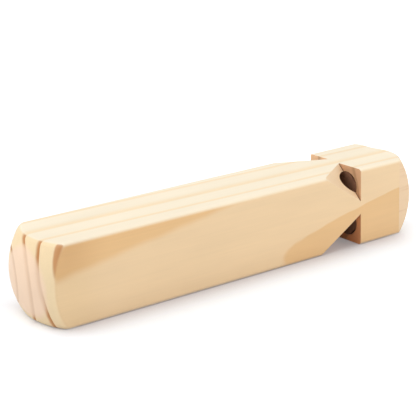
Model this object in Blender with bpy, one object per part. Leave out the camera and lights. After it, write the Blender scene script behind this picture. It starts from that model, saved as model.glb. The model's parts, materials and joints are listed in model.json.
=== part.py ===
"""A four-note wooden train whistle: a square pine bar with domed ends, blind bores, sawn mouths and fipple plugs.

Metres, +Z up. The origin is under the middle of the bar, +X runs towards the mouthpiece and -Y is the front.
"""

import math

import bmesh
import bpy
from mathutils import Matrix

# Bar
LENGTH = 0.200
SIDE = 0.0354
DOME_RISE = 0.0113
EDGE_ROUND = 0.0021
RIM_ROUND = 0.0010
LIP_TAPER_DEG = 3.0

# Bores, drilled from the mouthpiece end, with the depth of each air column measured from its mouth's wall
BORE_DIAMETER = 0.0127
BORE_INSET = 0.0092
DRILL_POINT_DEG = 118.0
COLUMN_UPPER_FRONT = 0.152
COLUMN_UPPER_BACK = 0.128
COLUMN_LOWER_BACK = 0.106
COLUMN_LOWER_FRONT = 0.088

# Mouths, one sawn into each long edge
MOUTHPIECE_LENGTH = 0.0355
MOUTH_LEG = 0.0147
RAMP_LENGTH = 0.0232

# Plugs
GLUE_LINE = 0.0003
WINDWAY_HEIGHT = 0.0014

# Fineness of the facets
DOME_CELLS = 12
ROUND_SEGMENTS = 3
BORE_SEGMENTS = 48

# What follows from the sizes above
HALF = SIDE / 2
TIP_X = LENGTH / 2
CORNER_X = TIP_X - DOME_RISE
WALL_X = TIP_X - MOUTHPIECE_LENGTH
DOME_RADIUS = (2 * HALF**2 + DOME_RISE**2) / (2 * DOME_RISE)
BORE_RADIUS = BORE_DIAMETER / 2
PLUG_RADIUS = BORE_RADIUS - GLUE_LINE
AXIS_OFFSET = math.sqrt(2) * (HALF - BORE_INSET)
EDGE_OFFSET = math.sqrt(2) * HALF
CLEAR = SIDE / 4

# The four long edges, as the signs of Y and Z that lead to them
EDGES = {
    "upper_front": (-1, 1),
    "upper_back": (1, 1),
    "lower_back": (1, -1),
    "lower_front": (-1, -1),
}
COLUMNS = {
    "upper_front": COLUMN_UPPER_FRONT,
    "upper_back": COLUMN_UPPER_BACK,
    "lower_back": COLUMN_LOWER_BACK,
    "lower_front": COLUMN_LOWER_FRONT,
}


def clear_scene():
    for old in list(bpy.data.objects):
        bpy.data.objects.remove(old, do_unlink=True)


def wood(name, colour, roughness):
    """A plain wood material."""
    material = bpy.data.materials.new(name)
    material.use_nodes = True
    shader = material.node_tree.nodes["Principled BSDF"]
    shader.inputs["Base Color"].default_value = (*colour, 1.0)
    shader.inputs["Roughness"].default_value = roughness
    shader.inputs["Metallic"].default_value = 0.0
    material.diffuse_color = (*colour, 1.0)
    return material


def finish(bm, name):
    """Turns a bmesh into a mesh with outward normals."""
    bmesh.ops.recalc_face_normals(bm, faces=bm.faces[:])
    mesh = bpy.data.meshes.new(name)
    bm.to_mesh(mesh)
    bm.free()
    return mesh


def add(name, mesh, parent):
    node = bpy.data.objects.new(name, mesh)
    bpy.context.scene.collection.objects.link(node)
    node.parent = parent
    return node


def along_edge(node, edge, x):
    """Stands a piece on the bar's axis at x, with its own +Z towards one long edge."""
    side_y, side_z = EDGES[edge]
    node.location = (x, 0.0, HALF)
    node.rotation_euler = (math.atan2(-side_y, side_z), 0.0, 0.0)


def as_cutter(node, group):
    node.hide_render = True
    node.display_type = "WIRE"
    bpy.context.scene.collection.objects.unlink(node)
    group.objects.link(node)


def cutter_group(name):
    group = bpy.data.collections.new(name)
    bpy.context.scene.collection.children.link(group)
    return group


def cut(node, group):
    """Takes every cutter of a group out of a piece."""
    boolean = node.modifiers.new(group.name, "BOOLEAN")
    boolean.operation = "DIFFERENCE"
    boolean.operand_type = "COLLECTION"
    boolean.solver = "EXACT"
    boolean.collection = group


def dome_drop(radius_from_axis):
    """How far the dome lies behind its tip at this distance from the bar's axis."""
    return DOME_RADIUS - math.sqrt(DOME_RADIUS**2 - radius_from_axis**2)


def bar_mesh():
    """The square bar with both ends domed, its edges marked with how far each is rounded."""
    bm = bmesh.new()
    bmesh.ops.create_cube(bm, size=1.0, matrix=Matrix.Diagonal((LENGTH, SIDE, SIDE, 1.0)))
    ends = [face for face in bm.faces if abs(face.normal.x) > 0.5]
    rims = {edge for face in ends for edge in face.edges}
    bmesh.ops.subdivide_edges(bm, edges=list(rims), cuts=DOME_CELLS - 1, use_grid_fill=True)
    for vert in bm.verts:
        drop = dome_drop(math.hypot(vert.co.y, vert.co.z))
        vert.co.x = math.copysign(TIP_X - drop, vert.co.x)
    weight = bm.edges.layers.float.new("bevel_weight_edge")
    widest = max(EDGE_ROUND, RIM_ROUND)
    for edge in bm.edges:
        first, second = edge.verts
        on_corner = abs(first.co.y * first.co.z) > 0.999 * HALF**2
        if first.co.x * second.co.x < 0:
            edge[weight] = EDGE_ROUND / widest if on_corner else 0.0
        elif any(abs(face.normal.x) < 0.01 for face in edge.link_faces):
            edge[weight] = RIM_ROUND / widest
    bmesh.ops.translate(bm, verts=bm.verts[:], vec=(0.0, 0.0, HALF))
    return finish(bm, "whistle_body")


def prism(profile, half_width, name):
    """A prism from (x, z) profile points, drawn out along Y to both sides."""
    bm = bmesh.new()
    verts = [bm.verts.new((x, -half_width, z)) for x, z in profile]
    face = bm.faces.new(verts)
    drawn = bmesh.ops.extrude_face_region(bm, geom=[face])
    moved = [item for item in drawn["geom"] if isinstance(item, bmesh.types.BMVert)]
    bmesh.ops.translate(bm, verts=moved, vec=(0.0, 2 * half_width, 0.0))
    return finish(bm, name)


def mouth_mesh():
    """What the saw takes out of one edge: square across at the wall, sloping out along the ramp."""
    depth = MOUTH_LEG / math.sqrt(2)
    outside = EDGE_OFFSET + CLEAR
    run_out = RAMP_LENGTH * (1 + CLEAR / depth)
    profile = [(0.0, EDGE_OFFSET - depth), (0.0, outside), (-run_out, outside)]
    return prism(profile, MOUTH_LEG + CLEAR, "mouth")


def lip_mesh():
    """What the mouthpiece's shallow lip flats take off one face of the bar."""
    reach = DOME_RISE + CLEAR
    sink = reach * math.tan(math.radians(LIP_TAPER_DEG))
    profile = [(0.0, HALF), (reach, HALF - sink), (reach, HALF + CLEAR)]
    return prism(profile, SIDE, "lip")


def drill_mesh(column):
    """The hole that a twist drill leaves, from beyond the mouthpiece's dome to the end of the air column."""
    point = BORE_RADIUS / math.tan(math.radians(DRILL_POINT_DEG / 2))
    bm = bmesh.new()
    profile = [
        (MOUTHPIECE_LENGTH + CLEAR, 0.0),
        (MOUTHPIECE_LENGTH + CLEAR, BORE_RADIUS),
        (-column, BORE_RADIUS),
        (-column - point, 0.0),
    ]
    verts = [bm.verts.new((x, 0.0, r)) for x, r in profile]
    edges = [bm.edges.new(pair) for pair in zip(verts, verts[1:])]
    bmesh.ops.spin(
        bm,
        geom=verts + edges,
        cent=(0.0, 0.0, 0.0),
        axis=(1.0, 0.0, 0.0),
        angle=math.tau,
        steps=BORE_SEGMENTS,
        use_merge=True,
    )
    bmesh.ops.remove_doubles(bm, verts=bm.verts[:], dist=1e-6)
    bmesh.ops.translate(bm, verts=bm.verts[:], vec=(0.0, 0.0, AXIS_OFFSET))
    return finish(bm, "drill")


def plug_mesh():
    """A dowel from the mouth's wall to the dome, with the flat that leaves the windway."""
    bm = bmesh.new()
    on_its_side = Matrix.Rotation(math.pi / 2, 4, "Y")
    bmesh.ops.create_cone(
        bm,
        cap_ends=True,
        segments=BORE_SEGMENTS,
        radius1=PLUG_RADIUS,
        radius2=PLUG_RADIUS,
        depth=MOUTHPIECE_LENGTH,
        matrix=Matrix.Translation((MOUTHPIECE_LENGTH / 2, 0.0, 0.0)) @ on_its_side,
    )
    sliced = bmesh.ops.bisect_plane(
        bm,
        geom=bm.verts[:] + bm.edges[:] + bm.faces[:],
        plane_co=(0.0, 0.0, BORE_RADIUS - WINDWAY_HEIGHT),
        plane_no=(0.0, 0.0, 1.0),
        clear_outer=True,
    )
    rim = [item for item in sliced["geom_cut"] if isinstance(item, bmesh.types.BMEdge)]
    bmesh.ops.contextual_create(bm, geom=rim)
    bmesh.ops.recalc_face_normals(bm, faces=bm.faces[:])
    cap = [face for face in bm.faces if face.normal.x > 0.9]
    inner = bmesh.ops.extrude_discrete_faces(bm, faces=cap)["faces"]
    bmesh.ops.scale(bm, verts=inner[0].verts[:], vec=(1.0, 0.5, 0.5))
    bmesh.ops.poke(bm, faces=inner)
    bmesh.ops.translate(bm, verts=bm.verts[:], vec=(0.0, 0.0, AXIS_OFFSET))
    for vert in bm.verts:
        if vert.co.x > MOUTHPIECE_LENGTH / 2:
            vert.co.x = MOUTHPIECE_LENGTH - dome_drop(math.hypot(vert.co.y, vert.co.z))
    return finish(bm, "plug")


def build_body(whistle, material):
    """The one-piece bar: domed and rounded first, then tapered, sawn and drilled."""
    body = add("whistle_body", bar_mesh(), whistle)
    body.data.materials.append(material)
    rounding = body.modifiers.new("rounding", "BEVEL")
    rounding.limit_method = "WEIGHT"
    rounding.width = max(EDGE_ROUND, RIM_ROUND)
    rounding.segments = ROUND_SEGMENTS

    lips = cutter_group("lip_cutters")
    lip = lip_mesh()
    for quarter in range(4):
        cutter = add(f"lip_cutter_{quarter}", lip, whistle)
        cutter.location = (CORNER_X, 0.0, HALF)
        cutter.rotation_euler = (quarter * math.pi / 2, 0.0, 0.0)
        as_cutter(cutter, lips)

    mouths = cutter_group("mouth_cutters")
    drills = cutter_group("drill_cutters")
    mouth = mouth_mesh()
    for edge in EDGES:
        saw = add(f"mouth_cutter_{edge}", mouth, whistle)
        along_edge(saw, edge, WALL_X)
        as_cutter(saw, mouths)
        drill = add(f"drill_cutter_{edge}", drill_mesh(COLUMNS[edge]), whistle)
        along_edge(drill, edge, WALL_X)
        as_cutter(drill, drills)

    for group in (lips, mouths, drills):
        cut(body, group)
    body.data.set_sharp_from_angle(angle=math.radians(30))
    return body


def build_plugs(whistle, material):
    """Four like dowels, one in each bore, each with its flat towards its own edge of the bar."""
    mesh = plug_mesh()
    mesh.materials.append(material)
    mesh.shade_smooth()
    mesh.set_sharp_from_angle(angle=math.radians(30))
    for edge in EDGES:
        plug = add(f"plug_{edge}", mesh, whistle)
        along_edge(plug, edge, WALL_X)


def main():
    clear_scene()
    whistle = bpy.data.objects.new("train_whistle", None)
    bpy.context.scene.collection.objects.link(whistle)
    build_body(whistle, wood("pine", (0.82, 0.61, 0.38), 0.55))
    build_plugs(whistle, wood("dowel", (0.68, 0.45, 0.26), 0.6))


main()
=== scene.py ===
"""The looks of a four-note wooden train whistle: a sanded pine bar with sawn mouths and dowel plugs.

Metres, +Z up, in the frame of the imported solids. +X runs towards the mouthpiece and -Y is the front.
"""

import json
import math

import bmesh
import bpy
from bpy.props import FloatProperty, FloatVectorProperty, IntProperty, PointerProperty
from mathutils import Matrix, Vector


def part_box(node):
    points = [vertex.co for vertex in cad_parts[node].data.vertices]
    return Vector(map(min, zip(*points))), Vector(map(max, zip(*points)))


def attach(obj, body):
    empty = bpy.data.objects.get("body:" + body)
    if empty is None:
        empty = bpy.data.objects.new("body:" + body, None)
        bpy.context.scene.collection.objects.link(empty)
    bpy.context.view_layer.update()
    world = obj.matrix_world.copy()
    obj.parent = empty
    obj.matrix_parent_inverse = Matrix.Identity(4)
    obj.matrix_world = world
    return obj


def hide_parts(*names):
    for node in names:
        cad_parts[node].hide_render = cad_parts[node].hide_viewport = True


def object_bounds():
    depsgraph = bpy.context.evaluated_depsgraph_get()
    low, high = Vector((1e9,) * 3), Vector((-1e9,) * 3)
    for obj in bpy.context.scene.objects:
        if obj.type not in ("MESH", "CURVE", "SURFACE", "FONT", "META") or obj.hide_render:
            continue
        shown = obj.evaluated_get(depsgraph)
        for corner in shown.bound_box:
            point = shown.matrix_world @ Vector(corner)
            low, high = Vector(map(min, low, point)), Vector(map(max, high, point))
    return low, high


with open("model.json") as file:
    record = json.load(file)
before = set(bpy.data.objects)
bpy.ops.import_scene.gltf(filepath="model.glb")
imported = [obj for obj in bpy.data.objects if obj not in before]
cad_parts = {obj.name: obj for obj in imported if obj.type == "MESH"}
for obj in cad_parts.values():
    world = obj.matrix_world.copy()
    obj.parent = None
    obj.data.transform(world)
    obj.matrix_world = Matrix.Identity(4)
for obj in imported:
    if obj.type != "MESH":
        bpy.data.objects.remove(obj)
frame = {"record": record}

bl_info = {
    "name": "Train Whistle",
    "version": (1, 0, 0),
    "blender": (4, 5, 0),
    "location": "3D View > Sidebar > Whistle",
    "description": "Models a four-note wooden train whistle and the stage that it lies on",
    "category": "Add Mesh",
}

CAD_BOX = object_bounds()
BODY_LOW, BODY_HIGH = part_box("whistle_body")
PLUG_LOW, PLUG_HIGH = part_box("plug_upper_front")
EDGES = ("upper_back", "lower_back", "lower_front", "upper_front")
OPENINGS = {opening["name"]: opening["box_m"] for opening in frame["record"]["physics"]["openings"]}

# Gap between a plug and its bore in the solids
GLUE_LINE = 0.0003

# Reaches within which points count as one place, are welded, or lie on a cutting plane
TINY = 1e-5
WELD_REACH = 2e-6
CUT_REACH = 1e-7

# How finely round shapes are divided
ROD_SEGMENTS = 96
GAUGE_SEGMENTS = 160
SANDING_SEGMENTS = 6
ARRIS_SEGMENTS = 2

# How far a normal leans along X: at least, on an end, and at most, on a long face
END_LEAN = 0.9
FLAT_LEAN = 0.01

# Angles between faces: beyond the first an edge stays sharp, beyond the second it counts as sawn,
# and below the third two faces count as one flat
SMOOTH_ANGLE = math.radians(35.0)
SAWN_ANGLE = math.radians(20.0)
FLAT_ANGLE = math.radians(0.1)

# Where sawn edges are looked for: how many ramps from the walls, and how deep in front roundings
SAWN_RAMPS = 1.2
SAWN_DEPTH = 0.35

# Shares of a ramp, from its wall, between which the rounding of the upper front edge changes
ROUNDING_CHANGE = (0.5, 0.3)

# Places on the rims that were sanded less than the rest of their dome: which end, how far to the back
# and up from the bar's axis in half sides, how far each stands out, and how far round it that reaches
FULL_PLACES = (
    (-1, -1.0, -1.0, 0.0013, 0.018),
    (-1, -1.0, 1.0, 0.0005, 0.013),
    (1, 1.0, 1.0, 0.0044, 0.014),
    (1, -1 / 3, 1.0, 0.0012, 0.016),
)


class WhistleSizes(bpy.types.PropertyGroup):
    """Sizes of the pine body."""

    length: FloatProperty(
        name="Length",
        description="From the tip of one dome to the tip of the other",
        default=BODY_HIGH.x - BODY_LOW.x,
        unit="LENGTH",
    )
    side: FloatProperty(
        name="Side",
        description="Width and height of the square bar",
        default=BODY_HIGH.z - BODY_LOW.z,
        unit="LENGTH",
    )
    dome_rise: FloatProperty(
        name="Dome rise",
        description="How far a dome's tip stands out beyond its corners",
        default=0.01175,
        unit="LENGTH",
    )
    dome_cells: IntProperty(
        name="Dome cells",
        description="Cells across each domed end",
        default=12,
    )
    front_round: FloatProperty(
        name="Front edge rounding",
        description="Radius that sanding leaves along the upper front edge of the body",
        default=0.0029,
        unit="LENGTH",
    )
    lip_round: FloatProperty(
        name="Mouthpiece edge rounding",
        description="Radius that sanding leaves along the upper front edge of the mouthpiece",
        default=0.0010,
        unit="LENGTH",
    )
    back_round: FloatProperty(
        name="Back edge rounding",
        description="Radius that sanding leaves along the upper back edge",
        default=0.0008,
        unit="LENGTH",
    )
    lower_round: FloatProperty(
        name="Lower edge rounding",
        description="Radius that sanding leaves along the two lower edges",
        default=0.0015,
        unit="LENGTH",
    )
    rim_round: FloatProperty(
        name="Rim rounding",
        description="Radius that sanding leaves round the plain end's dome",
        default=0.0018,
        unit="LENGTH",
    )
    lip_rim_round: FloatProperty(
        name="Lip rim rounding",
        description="Radius that sanding leaves round the dome of the mouthpiece",
        default=0.0007,
        unit="LENGTH",
    )
    lip_taper: FloatProperty(
        name="Lip taper",
        description="Slope of the flats that ease the mouthpiece for the lips",
        default=math.radians(3.0),
        subtype="ANGLE",
    )
    mouthpiece_length: FloatProperty(
        name="Mouthpiece length",
        description="From the walls of the mouths to the dome's tip",
        default=BODY_HIGH.x - PLUG_LOW.x,
        unit="LENGTH",
    )
    mouth_leg: FloatProperty(
        name="Mouth leg",
        description="How far each mouth reaches along both faces from its edge",
        default=0.0147,
        unit="LENGTH",
    )
    back_mouth_leg: FloatProperty(
        name="Back mouth leg",
        description="The same for the upper back mouth, which is sawn less deep",
        default=0.0123,
        unit="LENGTH",
    )
    back_mouth_shift: FloatProperty(
        name="Back mouth shift",
        description="How much nearer to the lips the upper back mouth is sawn",
        default=0.0009,
        unit="LENGTH",
    )
    ramp_length: FloatProperty(
        name="Ramp length",
        description="From the wall of a back mouth to where its ramp runs out",
        default=0.0232,
        unit="LENGTH",
    )
    upper_ramp_length: FloatProperty(
        name="Upper front ramp length",
        description="The same for the upper front mouth",
        default=0.0215,
        unit="LENGTH",
    )
    lower_ramp_length: FloatProperty(
        name="Lower front ramp length",
        description="The same for the lower front mouth",
        default=0.0242,
        unit="LENGTH",
    )
    bore_offset: FloatProperty(
        name="Bore offset",
        description="From the bar's mid-planes to each bore's axis",
        default=-(PLUG_LOW.y + PLUG_HIGH.y) / 2,
        unit="LENGTH",
    )
    bore_diameter: FloatProperty(
        name="Bore diameter",
        description="Diameter of the drilled air columns",
        default=PLUG_HIGH.y - PLUG_LOW.y + 2 * GLUE_LINE,
        unit="LENGTH",
    )
    drill_point: FloatProperty(
        name="Drill point",
        description="Angle of the cone that the drill leaves at the end of a bore",
        default=math.radians(118.0),
        subtype="ANGLE",
    )
    arris: FloatProperty(
        name="Arris",
        description="How far the sawn edges of the mouths are eased",
        default=0.00025,
        unit="LENGTH",
    )


class WhistlePlugs(bpy.types.PropertyGroup):
    """Sizes of the dowel plugs."""

    windway_height: FloatProperty(
        name="Windway height",
        description="Depth of the flat that lets the air past a plug",
        default=0.0009,
        unit="LENGTH",
    )
    fit: FloatProperty(
        name="Fit",
        description="Gap all round between a plug and its bore",
        default=0.00006,
        unit="LENGTH",
    )


class WhistleWood(bpy.types.PropertyGroup):
    """Colours and grain of the wood."""

    early: FloatVectorProperty(
        name="Earlywood",
        description="Pale wood on the long faces",
        default=(0.826, 0.598, 0.351),
        subtype="COLOR",
    )
    late: FloatVectorProperty(
        name="Latewood",
        description="Amber wood where a face runs along a growth ring",
        default=(0.766, 0.470, 0.205),
        subtype="COLOR",
    )
    # Painted light: these two colours are partly the quarter-sawn grain of the top and bottom, and partly
    # the top's bright light and sheen painted in, which makes them paler and their lines fainter.
    lit_quarter_early: FloatVectorProperty(
        name="Quarter-sawn earlywood",
        description="The palest wood, on the top and the bottom",
        default=(0.892, 0.783, 0.602),
        subtype="COLOR",
    )
    lit_quarter_late: FloatVectorProperty(
        name="Quarter-sawn latewood",
        description="Soft lines of the rings on the top and the bottom",
        default=(0.872, 0.685, 0.432),
        subtype="COLOR",
    )
    lip: FloatVectorProperty(
        name="Lip",
        description="Wood of the eased flats round the lip",
        default=(0.820, 0.595, 0.376),
        subtype="COLOR",
    )
    lip_late: FloatVectorProperty(
        name="Lip lines",
        description="Faint lines across the flats that the lips touch",
        default=(0.735, 0.480, 0.280),
        subtype="COLOR",
    )
    rim_early: FloatVectorProperty(
        name="Rim earlywood",
        description="Pale wood round the rims of the domes",
        default=(0.870, 0.675, 0.410),
        subtype="COLOR",
    )
    rim_late: FloatVectorProperty(
        name="Rim latewood",
        description="Dark wood where a ring runs out over a dome's rim",
        default=(0.510, 0.215, 0.062),
        subtype="COLOR",
    )
    end_early: FloatVectorProperty(
        name="End earlywood",
        description="Pinkish end grain on the domes",
        default=(0.915, 0.676, 0.486),
        subtype="COLOR",
    )
    end_late: FloatVectorProperty(
        name="End latewood",
        description="Thin ring lines in the end grain",
        default=(0.785, 0.548, 0.372),
        subtype="COLOR",
    )
    ramp: FloatVectorProperty(
        name="Ramp",
        description="Pinkish wood on the ramps, which cut across the grain",
        default=(0.825, 0.602, 0.376),
        subtype="COLOR",
    )
    # Painted shade: a dark line painted along the foot of each wall stands for the shadow in the crease
    # where the ramp meets the wall.
    saw_line: FloatVectorProperty(
        name="Saw line",
        description="Dark line that the saw leaves along the foot of each wall",
        default=(0.180, 0.085, 0.040),
        subtype="COLOR",
    )
    sawn: FloatVectorProperty(
        name="Sawn end grain",
        description="Rough end grain on the wall of the upper front mouth",
        default=(0.690, 0.398, 0.220),
        subtype="COLOR",
    )
    # The upper back mouth's wall takes a paler copy of the sawn end grain.
    sawn_back: FloatVectorProperty(
        name="Sawn back end grain",
        description="The same in the upper back mouth, which is cut paler",
        default=(0.900, 0.575, 0.325),
        subtype="COLOR",
    )
    # Painted shade: a darker, redder copy of the sawn end grain for the two lower mouths, which the light
    # from above hardly reaches.
    sawn_low: FloatVectorProperty(
        name="Sawn lower end grain",
        description="The same in the two lower mouths, which is redder",
        default=(0.760, 0.325, 0.143),
        subtype="COLOR",
    )
    # The flat-sawn sides are tinted yellower and browner towards the plain end.
    plain_end_tint: FloatVectorProperty(
        name="Handled",
        description="Yellower tone of the flat-sawn sides towards the plain end",
        default=(0.750, 0.530, 0.280),
        subtype="COLOR",
    )
    plain_end_tint_late: FloatVectorProperty(
        name="Handled latewood",
        description="Browner tone of the amber wood there",
        default=(0.590, 0.318, 0.118),
        subtype="COLOR",
    )
    sawn_late: FloatVectorProperty(
        name="Sawn latewood",
        description="Dark rings in the rough end grain",
        default=(0.330, 0.165, 0.080),
        subtype="COLOR",
    )
    # Painted shade: the bores' dark colour stands in for the shade deep inside the holes.
    drilled: FloatVectorProperty(
        name="Drilled wood",
        description="Burnished wood inside the bores",
        default=(0.500, 0.290, 0.150),
        subtype="COLOR",
    )
    dowel: FloatVectorProperty(
        name="Dowel",
        description="Wood of the plugs",
        default=(0.680, 0.440, 0.245),
        subtype="COLOR",
    )
    # Partly darker end grain, partly painted shade: the plugs' inner faces are darkened for the shade deep
    # in the mouths.
    dowel_inside: FloatVectorProperty(
        name="Dowel inside",
        description="Dark inner faces of the plugs",
        default=(0.230, 0.105, 0.058),
        subtype="COLOR",
    )
    drift: FloatProperty(
        name="Grain drift",
        description="Slope at which the growth rings run out towards the front",
        default=math.atan(0.031),
        subtype="ANGLE",
    )


class WhistleStage(bpy.types.PropertyGroup):
    """Camera and light."""

    azimuth: FloatProperty(
        name="Azimuth",
        description="Direction that the camera stands in, from the front",
        default=math.radians(-36.14),
        subtype="ANGLE",
    )
    elevation: FloatProperty(
        name="Elevation",
        description="Height of the camera above the horizon",
        default=math.radians(17.46),
        subtype="ANGLE",
    )
    roll: FloatProperty(
        name="Roll",
        description="Turn of the camera about its own axis",
        default=math.radians(-1.75),
        subtype="ANGLE",
    )
    distance: FloatProperty(
        name="Distance",
        description="From the camera to what it looks at",
        default=0.59182,
        unit="LENGTH",
    )
    target: FloatVectorProperty(
        name="Target",
        description="What the camera looks at",
        default=(-0.00738, 0.0, 0.02854),
        subtype="TRANSLATION",
    )
    lens: FloatProperty(
        name="Lens",
        description="Focal length of the camera in millimetres",
        default=120.07,
    )
    softbox_power: FloatProperty(
        name="Softbox",
        description="Power of the soft light overhead, in watts",
        default=23.2,
        unit="POWER",
    )
    fill_power: FloatProperty(
        name="Fill",
        description="Power of the soft light at the front right, in watts",
        default=1.1,
        unit="POWER",
    )
    end_fill_power: FloatProperty(
        name="End fill",
        description="Power of the low light on the plain end, in watts",
        default=0.14,
        unit="POWER",
    )
    sky: FloatProperty(
        name="Sky",
        description="Strength of the white light from all round",
        default=0.62,
    )


def deselect():
    if bpy.context.object and bpy.context.object.mode != "OBJECT":
        bpy.ops.object.mode_set(mode="OBJECT")
    bpy.ops.object.select_all(action="DESELECT")


def settle(piece):
    """Puts a new piece's place, turn and scale into its mesh."""
    bpy.ops.object.transform_apply(location=True, rotation=True, scale=True)
    return piece


def block(name, low, high):
    """A box between two corners, as a start for a piece or a cutter."""
    deselect()
    low, high = Vector(low), Vector(high)
    bpy.ops.mesh.primitive_cube_add(size=1.0, location=(low + high) / 2)
    piece = bpy.context.object
    piece.name = name
    piece.scale = high - low
    return settle(piece)


def rod(name, start, end, radius):
    """A round bar along X between two ends, as a start for a piece or a cutter."""
    deselect()
    start, end = Vector(start), Vector(end)
    bpy.ops.mesh.primitive_cylinder_add(
        vertices=ROD_SEGMENTS,
        radius=radius,
        depth=end.x - start.x,
        location=(start + end) / 2,
        rotation=(0.0, math.pi / 2, 0.0),
    )
    bpy.context.object.name = name
    return settle(bpy.context.object)


def edit(piece):
    deselect()
    piece.select_set(True)
    bpy.context.view_layer.objects.active = piece
    bpy.ops.object.mode_set(mode="EDIT")


def choose(piece, kind, test):
    """Selects the verts, edges or faces of a piece in edit mode that pass a test."""
    bpy.ops.mesh.select_mode(type=kind)
    bpy.ops.mesh.select_all(action="DESELECT")
    mesh = bmesh.from_edit_mesh(piece.data)
    mesh.normal_update()
    parts = {"VERT": mesh.verts, "EDGE": mesh.edges, "FACE": mesh.faces}[kind]
    for part in parts:
        if test(part):
            part.select_set(True)
    bmesh.update_edit_mesh(piece.data)


def slice_off(point, normal):
    """Planes away all of the piece in edit mode that lies beyond a plane."""
    bpy.ops.mesh.select_all(action="SELECT")
    bpy.ops.mesh.bisect(
        plane_co=point,
        plane_no=normal,
        use_fill=True,
        clear_outer=True,
        threshold=CUT_REACH,
    )


def weld():
    """Joins the points of the piece in edit mode that lie in one place."""
    bpy.ops.mesh.select_all(action="SELECT")
    bpy.ops.mesh.remove_doubles(threshold=WELD_REACH)


def apply(piece, modifier):
    bpy.context.view_layer.objects.active = piece
    bpy.ops.object.modifier_apply(modifier=modifier.name)


def combine(piece, tool, operation):
    """Takes a tool out of a piece, or keeps what lies inside the tool, and removes the tool."""
    boolean = piece.modifiers.new(tool.name, "BOOLEAN")
    boolean.operation = operation
    boolean.solver = "EXACT"
    boolean.object = tool
    apply(piece, boolean)
    bpy.data.objects.remove(tool, do_unlink=True)


def finish(piece):
    """Cleans a piece's mesh and shades it smooth but for its sharp edges."""
    edit(piece)
    weld()
    bpy.ops.mesh.normals_make_consistent(inside=False)
    deselect()
    piece.select_set(True)
    bpy.context.view_layer.objects.active = piece
    bpy.ops.object.shade_smooth_by_angle(angle=SMOOTH_ANGLE)
    weighted = piece.modifiers.new("flat_faces", "WEIGHTED_NORMAL")
    weighted.keep_sharp = True
    apply(piece, weighted)


def dome_radius(sizes):
    """Radius of the sphere through a dome's tip and corners."""
    half = sizes.side / 2
    return (2 * half**2 + sizes.dome_rise**2) / (2 * sizes.dome_rise)


def dome_gauge(sizes, end):
    """A ball as large as the sphere that one end of the bar is sanded to."""
    radius = dome_radius(sizes)
    deselect()
    bpy.ops.mesh.primitive_uv_sphere_add(
        segments=GAUGE_SEGMENTS,
        ring_count=GAUGE_SEGMENTS // 2,
        radius=radius,
        location=(end * (sizes.length / 2 - radius), 0.0, sizes.side / 2),
        rotation=(0.0, math.pi / 2, 0.0),
        calc_uvs=False,
    )
    return settle(bpy.context.object)


def press_on_dome(piece, sizes, end, group):
    """Presses a group of a piece's points along X on to the sphere of one end."""
    gauge = dome_gauge(sizes, end)
    press = piece.modifiers.new("dome", "SHRINKWRAP")
    press.wrap_method = "PROJECT"
    press.use_project_x = True
    press.use_negative_direction = end > 0
    press.use_positive_direction = end < 0
    press.vertex_group = group
    press.target = gauge
    apply(piece, press)
    bpy.data.objects.remove(gauge, do_unlink=True)


def name_group(piece, name, test):
    """Gathers the points of a piece in edit mode that pass a test into a named group."""
    choose(piece, "VERT", test)
    bpy.ops.object.vertex_group_add()
    piece.vertex_groups.active.name = name
    bpy.ops.object.vertex_group_assign()


def square_bar(sizes):
    """The bar, domed at both ends and sanded round along its edges."""
    half, tip = sizes.side / 2, sizes.length / 2
    stock = sizes.dome_rise
    bar = block("pine_body", (-tip - stock, -half, 0.0), (tip + stock, half, sizes.side))
    edit(bar)
    choose(bar, "FACE", lambda face: abs(face.normal.x) > END_LEAN)
    bpy.ops.mesh.subdivide(number_cuts=sizes.dome_cells - 1)
    name_group(bar, "left_end", lambda vert: vert.co.x < 0)
    name_group(bar, "right_end", lambda vert: vert.co.x > 0)
    press_on_dome(bar, sizes, -1, "left_end")
    press_on_dome(bar, sizes, 1, "right_end")
    for place in FULL_PLACES:
        draw_out(bar, half, *place)

    # The long edges are split where the mouths will be sawn, so that the mouthpiece has its own rounding
    wall = mouth_wall(sizes, "upper_front")
    splits = [wall - share * sizes.ramp_length for share in ROUNDING_CHANGE]
    edit(bar)
    for split in splits:
        bpy.ops.mesh.select_all(action="SELECT")
        bpy.ops.mesh.bisect(plane_co=(split, 0.0, 0.0), plane_no=(1.0, 0.0, 0.0), threshold=CUT_REACH)
    rounds = (
        (sizes.front_round, lambda edge: is_front_edge(edge, half) and middle_of(edge).x < splits[0]),
        (sizes.lip_round, lambda edge: is_front_edge(edge, half) and middle_of(edge).x > splits[0]),
        (sizes.back_round, lambda edge: is_upper_edge(edge, half) and not is_front_edge(edge, half)),
        (sizes.lower_round, lambda edge: is_long_edge(edge, half) and not is_upper_edge(edge, half)),
        (sizes.rim_round, lambda edge: is_rim(edge) and middle_of(edge).x < 0),
        (sizes.lip_rim_round, lambda edge: is_rim(edge) and middle_of(edge).x > 0),
    )
    widest = max(radius for radius, test in rounds)
    for radius, test in rounds:
        choose(bar, "EDGE", test)
        bpy.ops.transform.edge_bevelweight(value=radius / widest)
    deselect()
    sanding = bar.modifiers.new("sanding", "BEVEL")
    sanding.limit_method = "WEIGHT"
    sanding.width = widest
    sanding.segments = SANDING_SEGMENTS
    apply(bar, sanding)
    bar.vertex_groups.clear()

    # Curved faces are split into triangles, so that the saw and the drill cut them cleanly
    edit(bar)
    choose(bar, "FACE", lambda face: not is_long_face(face))
    bpy.ops.mesh.quads_convert_to_tris(quad_method="BEAUTY", ngon_method="BEAUTY")
    deselect()
    return bar


def draw_out(bar, half, end, side, height, amount, reach):
    """Draws one place on the rim of a dome out again, with the wood round it."""
    place = (side * half, half + height * half)
    edit(bar)
    choose(bar, "VERT", lambda vert: vert.co.x * end > 0 and is_near(vert.co.yz, place))
    bpy.ops.transform.translate(
        value=(end * amount, 0.0, 0.0),
        use_proportional_edit=True,
        proportional_edit_falloff="SMOOTH",
        proportional_size=reach,
    )
    deselect()


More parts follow.
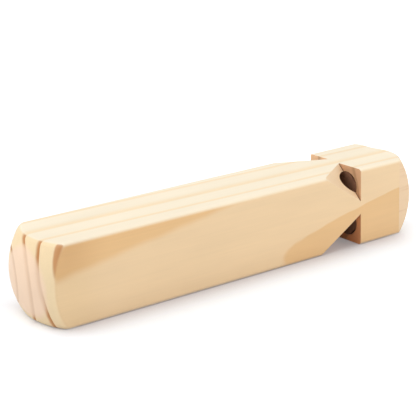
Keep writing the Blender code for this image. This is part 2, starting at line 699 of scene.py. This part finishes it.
def is_near(point, place):
    return all(abs(a - b) < TINY for a, b in zip(point, place))


def middle_of(edge):
    return (edge.verts[0].co + edge.verts[1].co) / 2


def is_long_face(face):
    """Whether a face is part of one of the bar's four flat sides."""
    return max(abs(face.normal.y), abs(face.normal.z)) > 1 - TINY


def is_long_edge(edge, half):
    """Whether an edge runs along one of the bar's four long corners."""
    middle = middle_of(edge)
    return abs(middle.y) > half - TINY and abs(middle.z - half) > half - TINY


def is_upper_edge(edge, half):
    return is_long_edge(edge, half) and middle_of(edge).z > half


def is_front_edge(edge, half):
    """Whether an edge runs along the bar's upper front corner."""
    return is_upper_edge(edge, half) and middle_of(edge).y < 0


def is_rim(edge):
    """Whether an edge lies between a dome and a long face."""
    flat = [abs(face.normal.x) < FLAT_LEAN for face in edge.link_faces]
    return any(flat) and not all(flat)


def ease_lips(bar, sizes):
    """Planes the shallow flats of the mouthpiece's lip, on all its faces but the top."""
    half = sizes.side / 2
    corner = sizes.length / 2 - sizes.dome_rise
    lean = Vector((math.sin(sizes.lip_taper), 0.0, math.cos(sizes.lip_taper)))
    edit(bar)
    for quarter in (1, 2, 3):
        turn = Matrix.Rotation(quarter * math.pi / 2, 3, "X")
        face = turn @ Vector((corner, 0.0, half)) + Vector((0.0, 0.0, half))
        slice_off(face, turn @ lean)
    deselect()


def mouth_wall(sizes, edge):
    """Where the wall of one mouth stands."""
    wall = sizes.length / 2 - sizes.mouthpiece_length
    return wall + sizes.back_mouth_shift if edge == "upper_back" else wall


def ramp_of(sizes, edge):
    """How long the ramp of one mouth is."""
    lengths = {"upper_front": sizes.upper_ramp_length, "lower_front": sizes.lower_ramp_length}
    return lengths.get(edge, sizes.ramp_length)


def saw(sizes, edge):
    """What the saw takes out of one long edge: square at the wall, then sloping out along the ramp."""
    half = sizes.side / 2
    wall = mouth_wall(sizes, edge)
    ramp = ramp_of(sizes, edge)
    leg = sizes.back_mouth_leg if edge == "upper_back" else sizes.mouth_leg
    corner = half * math.sqrt(2)
    foot = half + corner - leg / math.sqrt(2)
    cutter = block(f"saw_{edge}", (wall - 2 * ramp, -corner, foot), (wall, corner, half + 2 * corner))
    edit(cutter)
    slice_off((wall, 0.0, foot), (foot - half - corner, 0.0, -ramp))
    bpy.ops.mesh.select_all(action="SELECT")
    bpy.ops.transform.rotate(
        value=math.pi / 4 + EDGES.index(edge) * math.pi / 2,
        orient_axis="X",
        center_override=(0.0, 0.0, half),
    )
    deselect()
    return cutter


def drill(sizes, edge):
    """The hole that a twist drill leaves, from beyond the dome to the end of one air column."""
    half = sizes.side / 2
    radius = sizes.bore_diameter / 2
    column = OPENINGS[f"{edge}_column"]
    y = math.copysign(sizes.bore_offset, column[0][1])
    z = half + math.copysign(sizes.bore_offset, column[0][2] - half + radius)
    deep = column[0][0]
    cutter = rod(f"drill_{edge}", (deep, y, z), (sizes.length, y, z), radius)
    edit(cutter)
    choose(cutter, "FACE", lambda face: face.normal.x < -END_LEAN)
    point = radius / math.tan(sizes.drill_point / 2)
    bpy.ops.mesh.extrude_region_move(TRANSFORM_OT_translate={"value": (-point, 0.0, 0.0)})
    bpy.ops.mesh.merge(type="CENTER")
    deselect()
    return cutter


def is_sawn_edge(edge, sizes):
    """Whether an edge lies between a mouth's wall or ramp and the outside of the bar."""
    half = sizes.side / 2
    walls = {mouth_wall(sizes, name) for name in EDGES}
    longest = max(ramp_of(sizes, name) for name in EDGES)
    middle = middle_of(edge)
    at_wall = any(abs(middle.x - wall) < TINY for wall in walls)
    on_ramp = min(walls) - SAWN_RAMPS * longest < middle.x < max(walls)
    outside = max(abs(middle.y), abs(middle.z - half)) > half - SAWN_DEPTH * sizes.front_round
    sharp = edge.is_manifold and edge.calc_face_angle() > SAWN_ANGLE
    return (at_wall or on_ramp) and outside and sharp


def model_body(sizes):
    """The bar with its mouths sawn and its air columns drilled."""
    body = square_bar(sizes)
    ease_lips(body, sizes)
    for edge in EDGES:
        combine(body, saw(sizes, edge), "DIFFERENCE")
        combine(body, drill(sizes, edge), "DIFFERENCE")
    edit(body)
    weld()
    choose(body, "FACE", is_long_face)
    bpy.ops.mesh.dissolve_limited(angle_limit=FLAT_ANGLE)
    choose(body, "EDGE", lambda edge: is_sawn_edge(edge, sizes))
    bpy.ops.mesh.bevel(
        offset=sizes.arris,
        segments=ARRIS_SEGMENTS,
        affect="EDGES",
        clamp_overlap=False,
    )
    finish(body)
    return body


def model_plug(sizes, plugs):
    """The upper front dowel: flat towards its edge for the windway, and sanded flush with the dome."""
    half = sizes.side / 2
    radius = sizes.bore_diameter / 2 - plugs.fit
    wall = mouth_wall(sizes, "upper_front")
    axis = Vector((0.0, -sizes.bore_offset, half + sizes.bore_offset))
    to_edge = Vector((0.0, -1.0, 1.0)).normalized()
    start = axis + Vector((wall, 0.0, 0.0))
    end = axis + Vector((sizes.length / 2, 0.0, 0.0))
    plug = rod("dowel_upper_front", start, end, radius)
    edit(plug)
    slice_off(axis + to_edge * (sizes.bore_diameter / 2 - plugs.windway_height), to_edge)
    deselect()
    combine(plug, dome_gauge(sizes, 1), "INTERSECT")
    finish(plug)
    return plug


def copy_plug(plug, sizes, quarter):
    """A copy of a plug, turned about the bar's axis into another bore and cut back to its wall."""
    deselect()
    plug.select_set(True)
    bpy.context.view_layer.objects.active = plug
    bpy.ops.object.duplicate(linked=False)
    copy = bpy.context.object
    edit(copy)
    bpy.ops.mesh.select_all(action="SELECT")
    bpy.ops.transform.rotate(
        value=quarter * math.pi / 2,
        orient_axis="X",
        center_override=(0.0, 0.0, sizes.side / 2),
    )
    deselect()
    middle = sum((vert.co for vert in copy.data.vertices), Vector()) / len(copy.data.vertices)
    row = "upper" if middle.z > sizes.side / 2 else "lower"
    column = "front" if middle.y < 0 else "back"
    copy.name = f"dowel_{row}_{column}"
    wall = mouth_wall(sizes, f"{row}_{column}")
    if wall > mouth_wall(sizes, "upper_front"):
        edit(copy)
        slice_off((wall, 0.0, 0.0), (-1.0, 0.0, 0.0))
        deselect()
    return copy


class Wiring:
    """Adds nodes to a tree and joins them, each call giving the new node's output."""

    def __init__(self, tree):
        self.tree = tree

    def node(self, kind, **settings):
        made = self.tree.nodes.new(kind)
        for name, value in settings.items():
            setattr(made, name, value)
        return made

    def feed(self, socket, value):
        if isinstance(value, bpy.types.NodeSocket):
            self.tree.links.new(value, socket)
        else:
            socket.default_value = value

    def math(self, operation, *values):
        made = self.node("ShaderNodeMath", operation=operation)
        for socket, value in zip(made.inputs, values):
            self.feed(socket, value)
        return made.outputs[0]

    def measure(self, operation, *vectors):
        """The length of a vector, or the distance between two."""
        made = self.node("ShaderNodeVectorMath", operation=operation)
        for socket, vector in zip(made.inputs, vectors):
            self.feed(socket, vector)
        return made.outputs["Value"]

    def step(self, value, low, high, start=0.0, end=1.0, kind="SMOOTHSTEP"):
        """A value that goes from start to end while the given one goes from low to high."""
        made = self.node("ShaderNodeMapRange", interpolation_type=kind, clamp=True)
        ways = {"Value": value, "From Min": low, "From Max": high, "To Min": start, "To Max": end}
        for name, given in ways.items():
            self.feed(made.inputs[name], given)
        return made.outputs["Result"]

    def mix(self, share, first, second):
        """Two colours, with a share of the second."""
        made = self.node("ShaderNodeMix", data_type="RGBA", clamp_factor=True)
        self.feed(made.inputs["Factor"], share)
        for name, colour in (("A", first), ("B", second)):
            socket = next(item for item in made.inputs if item.name == name and item.type == "RGBA")
            self.feed(socket, colour if isinstance(colour, bpy.types.NodeSocket) else (*colour, 1.0))
        return next(item for item in made.outputs if item.type == "RGBA")

    def noise(self, at, cells, detail):
        """Soft noise, with so many cells per metre along X, Y and Z."""
        stretched = self.node("ShaderNodeMapping", vector_type="POINT")
        self.feed(stretched.inputs["Vector"], at)
        stretched.inputs["Scale"].default_value = cells
        made = self.node("ShaderNodeTexNoise")
        self.feed(made.inputs["Vector"], stretched.outputs["Vector"])
        made.inputs["Scale"].default_value = 1.0
        made.inputs["Detail"].default_value = detail
        return made.outputs["Fac"]

    def parts(self, vector):
        made = self.node("ShaderNodeSeparateXYZ")
        self.feed(made.inputs[0], vector)
        return made.outputs["X"], made.outputs["Y"], made.outputs["Z"]

    def join(self, x, y, z):
        made = self.node("ShaderNodeCombineXYZ")
        for socket, value in zip(made.inputs, (x, y, z)):
            self.feed(socket, value)
        return made.outputs[0]


def new_material(name):
    """A material with nothing but its shader, and the wiring to add to it."""
    material = bpy.data.materials.new(name)
    material.use_nodes = True
    material.node_tree.nodes.clear()
    wiring = Wiring(material.node_tree)
    shader = wiring.node("ShaderNodeBsdfPrincipled")
    output = wiring.node("ShaderNodeOutputMaterial")
    wiring.feed(output.inputs["Surface"], shader.outputs["BSDF"])
    return material, wiring, shader


# Growth rings across the bar at its plain end, in millimetres from its mid-plane and its bottom face:
# the heart's place, the ring's outer radius, the thickness of its latewood and how softly that sets in
RINGS = {
    "first": (13.7, 16.4, 12.0, 2.6, 0.2),
    "second": (16.9, 15.3, 24.6, 2.8, 0.2),
    "third": (77.7, 2.9, 91.8, 3.0, 0.2),
    "fourth": (224.8, -22.3, 254.0, 7.7, 0.4),
}
FALSE_RING = (-83.5, 35.4, 100.6, 1.6, 0.2)

# Where along the bar the rings have the places above
RING_START = -0.0948

# Depths inside a ring's hard edge over which the edge sets in, the dense wood fades out, and the soft line
# sets in and fades out, and how much of the latewood's colour is left at its inner side
RING_EDGE = (-0.00008, 0.00008)
DENSE_FADE = (0.0006, 0.0024)
LINE_START = (-0.0007, 0.0004)
LINE_FADE = (0.0003, 0.0028)
INNER_LATEWOOD = 0.7

# How strongly the latewood of the rings shows on the long faces, and that of the last, broad one
RING_SHARE = 0.82
BROAD_RING_SHARE = 1.2

# How far the rings waver, and the heights up the bar, in sides, between which the false ring appears
WAVER = 0.00010
FALSE_RING_HEIGHTS = (0.80, 0.95)

# Leans of the surface over which it turns into end grain, a rim, a quarter-sawn face or a ramp
END_GRAIN_LEAN = (0.885, 0.925)
RIM_LEAN = (0.28, 0.54)
# Painted highlight: the quarter-sawn fade is wide, so that the top's painted light spreads down over the
# rounded upper front edge.
QUARTER_SAWN_LEAN = (0.05, 0.95)
RAMP_LEAN = (0.22, 0.34)

# Cells per metre of the noise along X, Y and Z
WAVER_CELLS = (55.0, 60.0, 60.0)
FIBRE_CELLS = (30.0, 1500.0, 1500.0)
CLOUD_CELLS = (25.0, 120.0, 120.0)
LIP_LINE_CELLS = (30.0, 30.0, 330.0)
DOWEL_FIBRE_CELLS = (40.0, 1800.0, 1800.0)

# How much darker and lighter the fibres and the clouds make the wood
FIBRE_TONES = (0.980, 1.020)
CLOUD_TONES = (0.975, 1.025)
DOWEL_TONES = (0.85, 1.15)

# The height of the fibres, and how far along the bar its plain end is yellower, and how much
FIBRE_HEIGHT = 0.00006
PLAIN_END_TINT_LENGTH = 0.020
PLAIN_END_TINT_SHARE = 0.5

# From a mouth's wall: the reach of its sawn face, and over what the painted shade along the wall's foot
# sets in on the ramp
WALL_REACH = 0.0003
FOOT_SHADE_FADE = (-0.0008, -0.0004)

# From a bore's side, how far the painted shade of the bore reaches, and from the walls, how far in the
# plugs carry painted shade
BORE_SHADE_FADE = (0.00002, 0.00008)
PLUG_SHADE_DEPTHS = (0.002, 0.012)

# The floor: the places along X where the shadow ends at the plain end and at the lips, how near the wood
# is that shades it, over what share of open sky the shade fades, and the colours in and out of it
SHADOW_ENDS = ((-0.077, -0.101), (0.076, 0.100))
SHADE_REACH = 0.020
SHADE_FADE = (0.15, 0.97)
SHADED_FLOOR = (0.35, 0.265, 0.255)
WHITE_FLOOR = (0.80, 0.825, 0.86)

# The floor's own glow to the camera: how far out it rises, from what to what, and how much more at the lips
GLOW_REACH = (0.2, 1.2)
GLOW = (0.20, 0.80)
LIP_GLOW = 0.20


def growth_ring_group():
    """One growth ring's latewood: its whole band, the dense wood at its hard edge and a soft line."""
    group = bpy.data.node_groups.new("growth_ring", "ShaderNodeTree")
    face = group.interface
    face.new_socket("Section", in_out="INPUT", socket_type="NodeSocketVector")
    face.new_socket("Heart", in_out="INPUT", socket_type="NodeSocketVector")
    for name in ("Radius", "Latewood", "Softness"):
        face.new_socket(name, in_out="INPUT", socket_type="NodeSocketFloat")
    for name in ("Late", "Dense", "Line"):
        face.new_socket(name, in_out="OUTPUT", socket_type="NodeSocketFloat")
    wiring = Wiring(group)
    given = wiring.node("NodeGroupInput").outputs
    result = wiring.node("NodeGroupOutput").inputs
    from_heart = wiring.measure("DISTANCE", given["Section"], given["Heart"])
    depth = wiring.math("SUBTRACT", given["Radius"], from_heart)
    outer = wiring.step(depth, *RING_EDGE)
    inner_start = wiring.math("SUBTRACT", given["Latewood"], given["Softness"])
    inner_end = wiring.math("ADD", given["Latewood"], given["Softness"])
    inner = wiring.step(depth, inner_start, inner_end, 1.0, 0.0)
    darkening = wiring.step(depth, 0.0, given["Latewood"], 1.0, INNER_LATEWOOD, "LINEAR")
    band = wiring.math("MULTIPLY", outer, inner)
    wiring.feed(result["Late"], wiring.math("MULTIPLY", band, darkening))
    dense = wiring.step(depth, *DENSE_FADE, 1.0, 0.0)
    wiring.feed(result["Dense"], wiring.math("MULTIPLY", outer, dense))
    line_start = wiring.step(depth, *LINE_START)
    line_fade = wiring.step(depth, *LINE_FADE, 1.0, 0.0)
    wiring.feed(result["Line"], wiring.math("MULTIPLY", line_start, line_fade))
    return group


def ring(wiring, group, section, heart_y, heart_z, radius, latewood, softness):
    """One growth ring, from its sizes in millimetres."""
    made = wiring.node("ShaderNodeGroup", node_tree=group)
    wiring.feed(made.inputs["Section"], section)
    made.inputs["Heart"].default_value = (0.0, heart_y / 1000, heart_z / 1000)
    made.inputs["Radius"].default_value = radius / 1000
    made.inputs["Latewood"].default_value = latewood / 1000
    made.inputs["Softness"].default_value = softness / 1000
    return made.outputs["Late"], made.outputs["Dense"], made.outputs["Line"]


def coat(wiring, shader, colour, tone, fibre, roughness, bump_strength):
    """Joins a wood's colour, the tone of its figure and its fibres to its shader."""
    tinted = wiring.node("ShaderNodeVectorMath", operation="SCALE")
    wiring.feed(tinted.inputs[0], colour)
    wiring.feed(tinted.inputs["Scale"], tone)
    wiring.feed(shader.inputs["Base Color"], tinted.outputs[0])
    wiring.feed(shader.inputs["Roughness"], wiring.step(fibre, 0.2, 0.8, *roughness, "LINEAR"))
    bump = wiring.node("ShaderNodeBump")
    bump.inputs["Strength"].default_value = bump_strength
    bump.inputs["Distance"].default_value = FIBRE_HEIGHT
    wiring.feed(bump.inputs["Height"], fibre)
    wiring.feed(shader.inputs["Normal"], bump.outputs["Normal"])


def pine(wood, sizes):
    """Sanded pine from one log, so that its rings carry on from face to face and into the end grain."""
    material, wiring, shader = new_material("sanded_pine")
    half = sizes.side / 2
    wall = mouth_wall(sizes, "upper_front")
    corner = sizes.length / 2 - sizes.dome_rise
    place = wiring.node("ShaderNodeTexCoord")
    at = place.outputs["Object"]
    x, y, z = wiring.parts(at)
    is_upper = wiring.math("GREATER_THAN", z, half)

    # Place across the log, which drifts along the bar and wavers a little
    along = wiring.math("SUBTRACT", x, RING_START)
    slope = math.tan(wood.drift)
    waver = wiring.step(wiring.noise(at, WAVER_CELLS, 2.0), 0.3, 0.7, -WAVER, WAVER, "LINEAR")
    drifted = wiring.math("ADD", wiring.math("MULTIPLY_ADD", along, slope, y), waver)
    section = wiring.join(0.0, drifted, z)

    group = growth_ring_group()
    late, dense, line = 0.0, 0.0, 0.0
    for sizes_of_ring in RINGS.values():
        more_late, more_dense, more_line = ring(wiring, group, section, *sizes_of_ring)
        late = wiring.math("MAXIMUM", late, more_late)
        dense = wiring.math("MAXIMUM", dense, more_dense)
        line = wiring.math("MAXIMUM", line, more_line)
    broad_late = wiring.math("MULTIPLY", more_late, BROAD_RING_SHARE)
    late = wiring.math("MAXIMUM", wiring.math("MULTIPLY", late, RING_SHARE), broad_late)
    dense = wiring.math("MAXIMUM", dense, broad_late)
    _, _, false_line = ring(wiring, group, section, *FALSE_RING)
    fading = wiring.step(z, *(share * sizes.side for share in FALSE_RING_HEIGHTS))
    line = wiring.math("MAXIMUM", line, wiring.math("MULTIPLY", false_line, fading))

    # How the surface is cut: end grain, oblique rims, quarter-sawn top and bottom, or flat-sawn sides
    lean, _, rise = wiring.parts(place.outputs["Normal"])
    nx, nz = wiring.math("ABSOLUTE", lean), wiring.math("ABSOLUTE", rise)
    end = wiring.step(nx, *END_GRAIN_LEAN)
    oblique = wiring.step(nx, *RIM_LEAN)
    # Painted highlight: this wide fade carries the top's painted light down over the rounded upper front
    # edge.
    quarter = wiring.step(nz, *QUARTER_SAWN_LEAN)

    # Fine fibres and cloudiness
    fibre = wiring.noise(at, FIBRE_CELLS, 3.0)
    cloud = wiring.noise(at, CLOUD_CELLS, 2.0)
    tone = wiring.step(fibre, 0.2, 0.8, *FIBRE_TONES, "LINEAR")
    tone = wiring.math("MULTIPLY", tone, wiring.step(cloud, 0.25, 0.75, *CLOUD_TONES, "LINEAR"))

    # Yellower, browner tint of the sides towards the plain end.
    plain_end_tint = wiring.step(x, -corner, -corner + PLAIN_END_TINT_LENGTH, PLAIN_END_TINT_SHARE, 0.0)
    pale = wiring.mix(plain_end_tint, wood.early, wood.plain_end_tint)
    amber = wiring.mix(plain_end_tint, wood.late, wood.plain_end_tint_late)
    flat_sawn = wiring.mix(late, pale, amber)
    on_lip = wiring.step(x, corner - 0.0001, corner + 0.0001)
    lip_line = wiring.step(wiring.noise(at, LIP_LINE_CELLS, 2.0), 0.52, 0.66)
    flat_sawn = wiring.mix(on_lip, flat_sawn, wiring.mix(lip_line, wood.lip, wood.lip_late))
    # The quarter-sawn colour carries painted light: the top's bright light and sheen.
    lit_quarter_sawn = wiring.mix(line, wood.lit_quarter_early, wood.lit_quarter_late)
    rim = wiring.mix(dense, wood.rim_early, wood.rim_late)
    end_grain = wiring.mix(line, wood.end_early, wood.end_late)
    side = wiring.mix(quarter, flat_sawn, lit_quarter_sawn)
    colour = wiring.mix(end, wiring.mix(oblique, side, rim), end_grain)

    # Planed ramps, with a dark line of painted shade along the foot of each wall, where the crease lies in
    # shadow
    in_back_mouth = wiring.math("MULTIPLY", wiring.math("GREATER_THAN", y, 0.0), is_upper)
    wall_here = wiring.math("MULTIPLY_ADD", in_back_mouth, sizes.back_mouth_shift, wall)
    past_wall = wiring.math("SUBTRACT", x, wall_here)
    before_wall = wiring.math("LESS_THAN", past_wall, TINY)
    on_ramp = wiring.math("MULTIPLY", wiring.step(lean, *RAMP_LEAN), before_wall)
    running_out = wiring.step(past_wall, -sizes.ramp_length, -0.7 * sizes.ramp_length)
    on_ramp = wiring.math("MULTIPLY", on_ramp, running_out)
    # Painted shade along the foot of each wall.
    foot = wiring.step(past_wall, *FOOT_SHADE_FADE)
    colour = wiring.mix(on_ramp, colour, wiring.mix(foot, wood.ramp, wood.saw_line))

    # Rough walls of the mouths, the two lower ones darker with painted shade
    at_wall = wiring.math("LESS_THAN", wiring.math("ABSOLUTE", past_wall), WALL_REACH)
    at_wall = wiring.math("MULTIPLY", at_wall, end)
    sawn = wiring.mix(in_back_mouth, wood.sawn, wood.sawn_back)
    # The two lower mouths take the darker, redder copy: painted shade.
    sawn = wiring.mix(is_upper, wood.sawn_low, sawn)
    sawn = wiring.mix(wiring.math("MULTIPLY", line, 0.5), sawn, wood.sawn_late)
    colour = wiring.mix(at_wall, colour, sawn)

    # Painted shade inside the bores
    off_y = wiring.math("SUBTRACT", wiring.math("ABSOLUTE", y), sizes.bore_offset)
    from_middle = wiring.math("ABSOLUTE", wiring.math("SUBTRACT", z, half))
    off_z = wiring.math("SUBTRACT", from_middle, sizes.bore_offset)
    from_axis = wiring.measure("LENGTH", wiring.join(0.0, off_y, off_z))
    fade = [sizes.bore_diameter / 2 + reach for reach in BORE_SHADE_FADE]
    drilled = wiring.step(from_axis, *fade, 1.0, 0.0)
    drilled = wiring.math("MULTIPLY", drilled, wiring.math("GREATER_THAN", x, -corner))
    colour = wiring.mix(drilled, colour, wood.drilled)

    coat(wiring, shader, colour, tone, fibre, roughness=(0.46, 0.60), bump_strength=0.25)
    return material


def dowel(wood, sizes):
    """Dowel, with its own fine grain along the bar and its inner face darkened with painted shade and
    darker end grain.
    """
    material, wiring, shader = new_material("dowel_wood")
    at = wiring.node("ShaderNodeTexCoord").outputs["Object"]
    x, _, _ = wiring.parts(at)
    wall = mouth_wall(sizes, "upper_front")
    fibre = wiring.noise(at, DOWEL_FIBRE_CELLS, 3.0)
    tone = wiring.step(fibre, 0.2, 0.8, *DOWEL_TONES, "LINEAR")
    # The inner faces are darkened: painted shade of the mouths, with darker end grain.
    inside = wiring.step(x, *(wall + depth for depth in PLUG_SHADE_DEPTHS), 1.0, 0.0)
    colour = wiring.mix(inside, wood.dowel, wood.dowel_inside)
    coat(wiring, shader, colour, tone, fibre, roughness=(0.55, 0.70), bump_strength=0.3)
    return material


def paper():
    """White floor that shows white to the camera and keeps the object's shadow."""
    material, wiring, shader = new_material("white_floor")
    closeness = wiring.node("ShaderNodeAmbientOcclusion", samples=16)
    closeness.inputs["Distance"].default_value = SHADE_REACH
    at = wiring.node("ShaderNodeTexCoord").outputs["Object"]
    x, _, _ = wiring.parts(at)
    beyond_end, beyond_lips = (wiring.step(x, *places) for places in SHADOW_ENDS)
    lit = wiring.math("MAXIMUM", beyond_end, beyond_lips)
    lit = wiring.math("MAXIMUM", lit, wiring.step(closeness.outputs["AO"], *SHADE_FADE))
    wiring.feed(shader.inputs["Base Color"], wiring.mix(lit, SHADED_FLOOR, WHITE_FLOOR))
    shader.inputs["Roughness"].default_value = 0.9
    shader.inputs["Specular IOR Level"].default_value = 0.0
    shader.inputs["Emission Color"].default_value = (1.0, 1.0, 1.0, 1.0)
    path = wiring.node("ShaderNodeLightPath").outputs
    glow = wiring.step(wiring.measure("LENGTH", at), *GLOW_REACH, *GLOW)
    glow = wiring.math("MULTIPLY_ADD", beyond_lips, LIP_GLOW, glow)
    wiring.feed(shader.inputs["Emission Strength"], wiring.math("MULTIPLY", path["Is Camera Ray"], glow))
    return material


def white_sky(strength):
    """A white world that lights the object softly and shows as plain white itself."""
    world = bpy.data.worlds.new("white_sky")
    bpy.context.scene.world = world
    world.use_nodes = True
    wiring = Wiring(world.node_tree)
    path = wiring.node("ShaderNodeLightPath").outputs
    seen = wiring.math("MAXIMUM", path["Is Camera Ray"], path["Is Glossy Ray"])
    seen = wiring.math("MAXIMUM", seen, path["Is Transmission Ray"])
    sky = world.node_tree.nodes["Background"]
    sky.inputs["Color"].default_value = (1.0, 1.0, 1.0, 1.0)
    wiring.feed(sky.inputs["Strength"], wiring.step(seen, 0.0, 1.0, strength, 1.0, "LINEAR"))


# Soft lights: where each stands and how wide it is
SOFTBOXES = {
    "softbox": ((-0.95, 0.45, 1.65), 2.0),
    "fill": ((0.25, -0.52, 0.18), 0.4),
    "end_fill": ((-0.50, -0.30, 0.10), 0.3),
}

FLOOR_SIZE = 6.0
SENSOR_WIDTH = 36.0
NEAR_CLIP = 0.01


def add_softbox(name, place, size, power):
    """A square soft light that points at the middle of the floor."""
    bpy.ops.object.light_add(type="AREA", location=place)
    softbox = bpy.context.object
    softbox.name = name
    softbox.data.shape = "SQUARE"
    softbox.data.size = size
    softbox.data.energy = power
    softbox.rotation_euler = (-Vector(place)).to_track_quat("-Z", "Y").to_euler()


class WHISTLE_OT_body(bpy.types.Operator):
    """Model the one-piece pine body"""

    bl_idname = "whistle.body"
    bl_label = "Pine Body"
    bl_options = {"REGISTER", "UNDO"}

    def execute(self, context):
        scene = context.scene
        body = model_body(scene.whistle_sizes)
        body.data.materials.clear()
        body.data.materials.append(pine(scene.whistle_wood, scene.whistle_sizes))
        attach(body, "root")
        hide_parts("whistle_body")
        return {"FINISHED"}


class WHISTLE_OT_plugs(bpy.types.Operator):
    """Model the four dowel plugs that leave the windways"""

    bl_idname = "whistle.plugs"
    bl_label = "Dowel Plugs"
    bl_options = {"REGISTER", "UNDO"}

    def execute(self, context):
        scene = context.scene
        first = model_plug(scene.whistle_sizes, scene.whistle_plugs)
        first.data.materials.clear()
        first.data.materials.append(dowel(scene.whistle_wood, scene.whistle_sizes))
        pieces = [first] + [copy_plug(first, scene.whistle_sizes, quarter) for quarter in (1, 2, 3)]
        for piece in pieces:
            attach(piece, "root")
            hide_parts(piece.name.replace("dowel", "plug"))
        return {"FINISHED"}


class WHISTLE_OT_stage(bpy.types.Operator):
    """Lay the floor and set the light and the camera"""

    bl_idname = "whistle.stage"
    bl_label = "Stage"
    bl_options = {"REGISTER", "UNDO"}

    def execute(self, context):
        stage = context.scene.whistle_stage
        deselect()
        bpy.ops.mesh.primitive_plane_add(size=FLOOR_SIZE, location=(0.0, 0.0, CAD_BOX[0].z))
        floor = bpy.context.object
        floor.name = "floor"
        floor.data.materials.append(paper())
        white_sky(stage.sky)

        powers = (stage.softbox_power, stage.fill_power, stage.end_fill_power)
        for (name, (place, size)), power in zip(SOFTBOXES.items(), powers):
            add_softbox(name, place, size, power)

        target = Vector(stage.target)
        level = math.cos(stage.elevation)
        back = Vector((
            math.sin(stage.azimuth) * level,
            -math.cos(stage.azimuth) * level,
            math.sin(stage.elevation),
        ))
        bpy.ops.object.camera_add(location=target + back * stage.distance)
        camera = bpy.context.object
        camera.rotation_mode = "QUATERNION"
        turn = Matrix.Rotation(stage.roll, 3, "Z").to_quaternion()
        camera.rotation_quaternion = (-back).to_track_quat("-Z", "Y") @ turn
        camera.data.lens = stage.lens
        camera.data.sensor_width = SENSOR_WIDTH
        camera.data.clip_start = NEAR_CLIP
        context.scene.camera = camera
        context.scene.view_settings.view_transform = "Standard"
        return {"FINISHED"}


class WHISTLE_PT_panel(bpy.types.Panel):
    """Sizes and steps of the whistle"""

    bl_label = "Train Whistle"
    bl_idname = "WHISTLE_PT_panel"
    bl_space_type = "VIEW_3D"
    bl_region_type = "UI"
    bl_category = "Whistle"

    def draw(self, context):
        for operator, groups in STEPS:
            box = self.layout.box()
            box.operator(operator.bl_idname)
            for group in groups:
                for name in group.__annotations__:
                    box.prop(getattr(context.scene, GROUPS[group]), name)


GROUPS = {
    WhistleSizes: "whistle_sizes",
    WhistlePlugs: "whistle_plugs",
    WhistleWood: "whistle_wood",
    WhistleStage: "whistle_stage",
}
STEPS = (
    (WHISTLE_OT_body, (WhistleSizes, WhistleWood)),
    (WHISTLE_OT_plugs, (WhistlePlugs,)),
    (WHISTLE_OT_stage, (WhistleStage,)),
)
CLASSES = (*GROUPS, WHISTLE_OT_body, WHISTLE_OT_plugs, WHISTLE_OT_stage, WHISTLE_PT_panel)


def register():
    for item in CLASSES:
        bpy.utils.register_class(item)
    for group, name in GROUPS.items():
        setattr(bpy.types.Scene, name, PointerProperty(type=group))


def unregister():
    for name in GROUPS.values():
        delattr(bpy.types.Scene, name)
    for item in reversed(CLASSES):
        bpy.utils.unregister_class(item)


def main():
    register()
    bpy.ops.whistle.body()
    bpy.ops.whistle.plugs()
    bpy.ops.whistle.stage()


if __name__ == "__main__":
    main()
